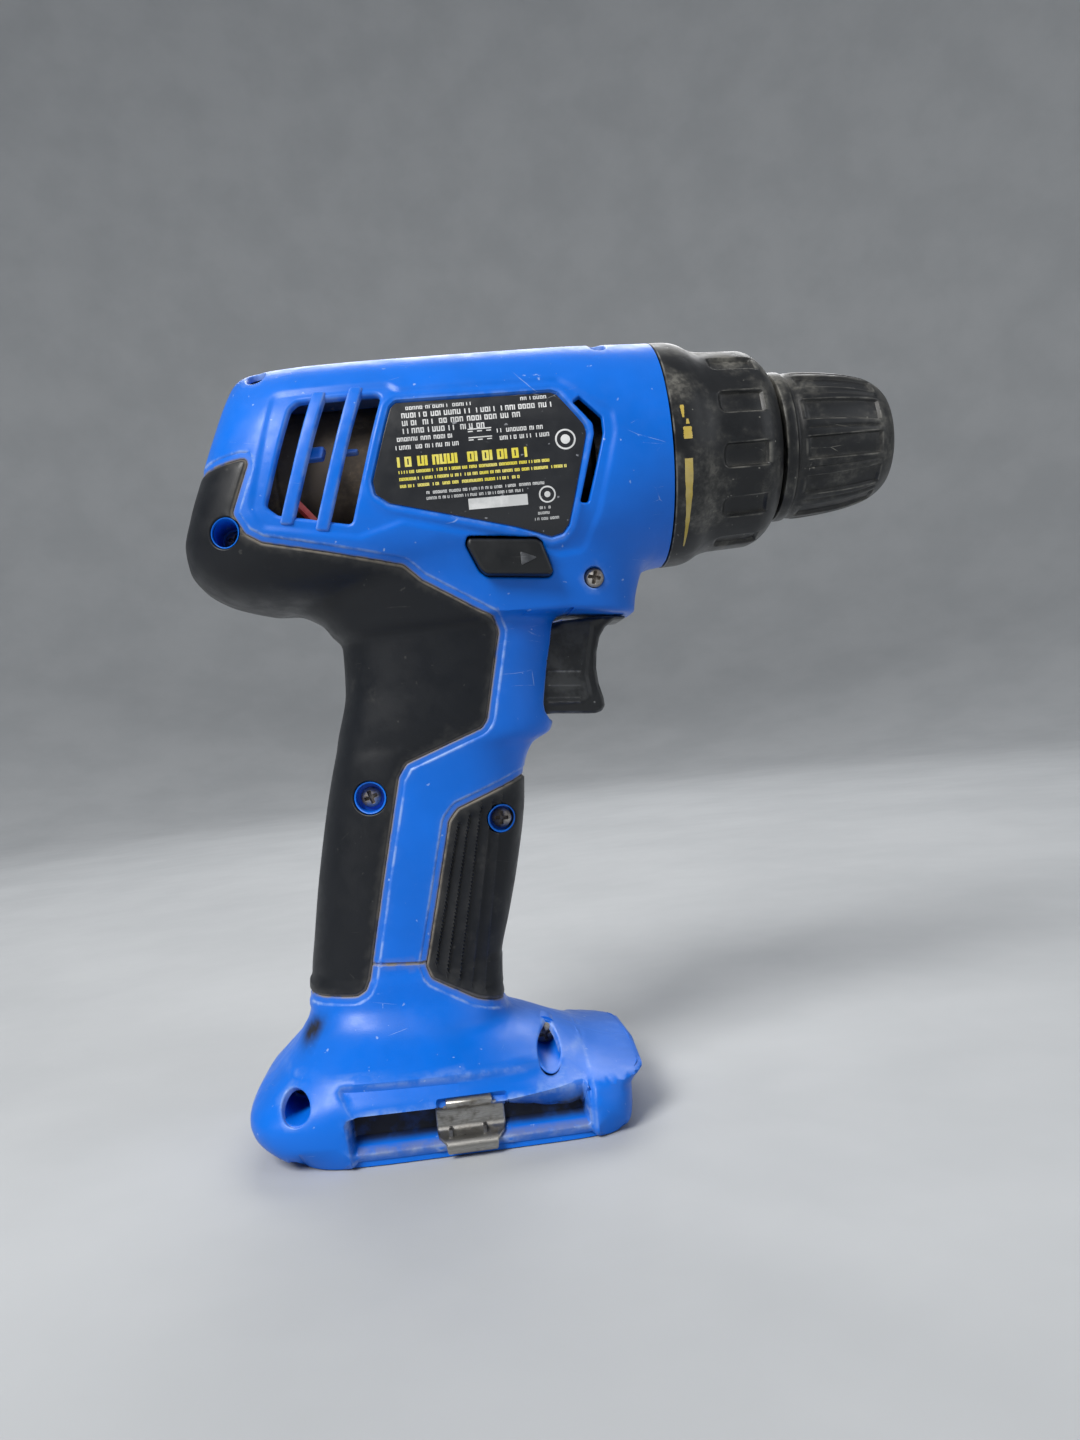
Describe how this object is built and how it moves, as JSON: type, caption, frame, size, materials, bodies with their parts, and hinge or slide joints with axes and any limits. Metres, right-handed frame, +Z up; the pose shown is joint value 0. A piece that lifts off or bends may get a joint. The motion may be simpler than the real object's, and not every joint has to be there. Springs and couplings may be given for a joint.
{
  "type": "cordless drill",
  "caption": "pistol-grip cordless drill driver without its battery, with a keyless chuck, torque collar, trigger, direction selector, rubber grips and a planetary gearbox inside",
  "frame": {"origin": "centre of the bounding box's bottom face, under the foot that the drill stands on", "axes": "+X towards the chuck along the spindle, +Y towards the drill's left side, +Z up"},
  "size_m": [0.1772, 0.0696, 0.1865],
  "materials": {
    "blue_plastic": "moulded, satin, dusty and lightly scratched",
    "grip_rubber": "finely grained, dusty",
    "plate_film": "printed film, satin, worn",
    "black_plastic": "moulded, satin",
    "bright_steel": "plated, slightly dull",
    "dark_steel": "black oxide",
    "contact_brass": "plain",
    "nylon": "natural",
    "carbon": "sintered carbon",
    "red_insulation": "smooth",
    "black_insulation": "smooth"
  },
  "bodies": {
    "housing": {"right_shell": "blue_plastic", "left_shell": "blue_plastic", "right_rear_grip": "grip_rubber", "left_rear_grip": "grip_rubber", "right_front_grip": "grip_rubber", "left_front_grip": "grip_rubber", "right_rating_plate": "plate_film", "left_rating_plate": "plate_film", "right_latch_strike": "bright_steel", "left_latch_strike": "bright_steel", "screw_top_rear": "bright_steel", "screw_top_front": "bright_steel", "screw_rear": "bright_steel", "screw_trigger": "bright_steel", "screw_grip_rear": "bright_steel", "screw_grip_front": "bright_steel", "screw_foot_rear": "bright_steel", "screw_foot_front": "bright_steel", "switch_body": "black_plastic", "trigger_spring": "bright_steel", "terminal_block": "black_plastic", "positive_terminal": "contact_brass", "negative_terminal": "contact_brass", "red_battery_lead": "red_insulation", "black_battery_lead": "black_insulation", "red_motor_lead": "red_insulation", "black_motor_lead": "black_insulation", "motor_can": "dark_steel", "motor_end_cap": "nylon", "upper_brush": "carbon", "lower_brush": "carbon", "motor_plate": "dark_steel", "gear_case": "black_plastic", "ring_gear": "dark_steel", "spindle_bush": "contact_brass", "clutch_ring": "bright_steel", "clutch_spring": "bright_steel"},
    "trigger": {"trigger": "black_plastic"},
    "selector": {"direction_selector": "black_plastic"},
    "rotor": {"motor_shaft": "bright_steel", "armature": "dark_steel", "cooling_fan": "nylon", "motor_pinion": "bright_steel"},
    "first_stage": {"first_carrier": "bright_steel"},
    "first_planet_a": {"first_planet_1": "nylon"},
    "first_planet_b": {"first_planet_2": "nylon"},
    "first_planet_c": {"first_planet_3": "nylon"},
    "output": {"output_carrier": "bright_steel", "spindle": "bright_steel", "chuck_body": "dark_steel"},
    "second_planet_a": {"second_planet_1": "bright_steel"},
    "second_planet_b": {"second_planet_2": "bright_steel"},
    "second_planet_c": {"second_planet_3": "bright_steel"},
    "collar": {"torque_collar": "black_plastic"},
    "nut": {"clutch_nut": "nylon"},
    "sleeve": {"chuck_sleeve": "black_plastic", "chuck_nut": "bright_steel"},
    "jaw_a": {"chuck_jaw_1": "bright_steel"},
    "jaw_b": {"chuck_jaw_2": "bright_steel"},
    "jaw_c": {"chuck_jaw_3": "bright_steel"}
  },
  "joints": [
    {"name": "motor_spin", "type": "hinge", "parent": "housing", "child": "rotor", "pos_m": [-0.04125, 0, 0.1585], "axis": [1, 0, 0], "continuous": true},
    {"name": "first_stage_spin", "type": "hinge", "parent": "housing", "child": "first_stage", "pos_m": [-0.00585, 0, 0.1585], "axis": [1, 0, 0], "continuous": true},
    {"name": "first_planet_a_spin", "type": "hinge", "parent": "first_stage", "child": "first_planet_a", "pos_m": [-0.01055, 0.009, 0.1585], "axis": [1, 0, 0], "continuous": true},
    {"name": "first_planet_b_spin", "type": "hinge", "parent": "first_stage", "child": "first_planet_b", "pos_m": [-0.01055, -0.0045, 0.16629], "axis": [1, 0, 0], "continuous": true},
    {"name": "first_planet_c_spin", "type": "hinge", "parent": "first_stage", "child": "first_planet_c", "pos_m": [-0.01055, -0.0045, 0.15071], "axis": [1, 0, 0], "continuous": true},
    {"name": "chuck_spin", "type": "hinge", "parent": "housing", "child": "output", "pos_m": [0.05, 0, 0.1585], "axis": [1, 0, 0], "continuous": true},
    {"name": "second_planet_a_spin", "type": "hinge", "parent": "output", "child": "second_planet_a", "pos_m": [-0.00075, 0.009, 0.1585], "axis": [1, 0, 0], "continuous": true},
    {"name": "second_planet_b_spin", "type": "hinge", "parent": "output", "child": "second_planet_b", "pos_m": [-0.00075, -0.0045, 0.16629], "axis": [1, 0, 0], "continuous": true},
    {"name": "second_planet_c_spin", "type": "hinge", "parent": "output", "child": "second_planet_c", "pos_m": [-0.00075, -0.0045, 0.15071], "axis": [1, 0, 0], "continuous": true},
    {"name": "collar_turn", "type": "hinge", "parent": "housing", "child": "collar", "pos_m": [0.043, 0, 0.1585], "axis": [1, 0, 0], "range_deg": [-120, 120]},
    {"name": "nut_feed", "type": "slide", "parent": "collar", "child": "nut", "axis": [1, 0, 0], "range_m": [-0.00134, 0.00134], "deforming": ["clutch_spring"]},
    {"name": "sleeve_turn", "type": "hinge", "parent": "output", "child": "sleeve", "pos_m": [0.074, 0, 0.1585], "axis": [1, 0, 0], "range_deg": [-192, 3120]},
    {"name": "jaw_a_slide", "type": "slide", "parent": "output", "child": "jaw_a", "axis": [0.9703, 0.121, -0.2095], "range_m": [-0.00081, 0.01302]},
    {"name": "jaw_b_slide", "type": "slide", "parent": "output", "child": "jaw_b", "axis": [0.9703, 0.121, 0.2095], "range_m": [-0.00081, 0.01302]},
    {"name": "jaw_c_slide", "type": "slide", "parent": "output", "child": "jaw_c", "axis": [0.9703, -0.2419, 0], "range_m": [-0.00081, 0.01302]},
    {"name": "trigger_pull", "type": "slide", "parent": "housing", "child": "trigger", "axis": [-1, 0, 0], "range_m": [0, 0.006], "stiffness_N_per_m": 400, "springref_m": -0.002, "deforming": ["trigger_spring"]},
    {"name": "selector_shift", "type": "slide", "parent": "housing", "child": "selector", "axis": [0, 1, 0], "range_m": [-0.003, 0.003]}
  ],
  "couplings": [
    {"joint": "first_stage_spin", "follows": "motor_spin", "ratio": 0.2},
    {"joint": "first_planet_a_spin", "follows": "motor_spin", "ratio": -0.53333},
    {"joint": "first_planet_b_spin", "follows": "motor_spin", "ratio": -0.53333},
    {"joint": "first_planet_c_spin", "follows": "motor_spin", "ratio": -0.53333},
    {"joint": "chuck_spin", "follows": "motor_spin", "ratio": 0.04},
    {"joint": "second_planet_a_spin", "follows": "motor_spin", "ratio": -0.10667},
    {"joint": "second_planet_b_spin", "follows": "motor_spin", "ratio": -0.10667},
    {"joint": "second_planet_c_spin", "follows": "motor_spin", "ratio": -0.10667},
    {"joint": "nut_feed", "follows": "collar_turn", "m_per_rad": 0.000637},
    {"joint": "jaw_a_slide", "follows": "sleeve_turn", "m_per_rad": 0.00023873},
    {"joint": "jaw_b_slide", "follows": "sleeve_turn", "m_per_rad": 0.00023873},
    {"joint": "jaw_c_slide", "follows": "sleeve_turn", "m_per_rad": 0.00023873}
  ]
}
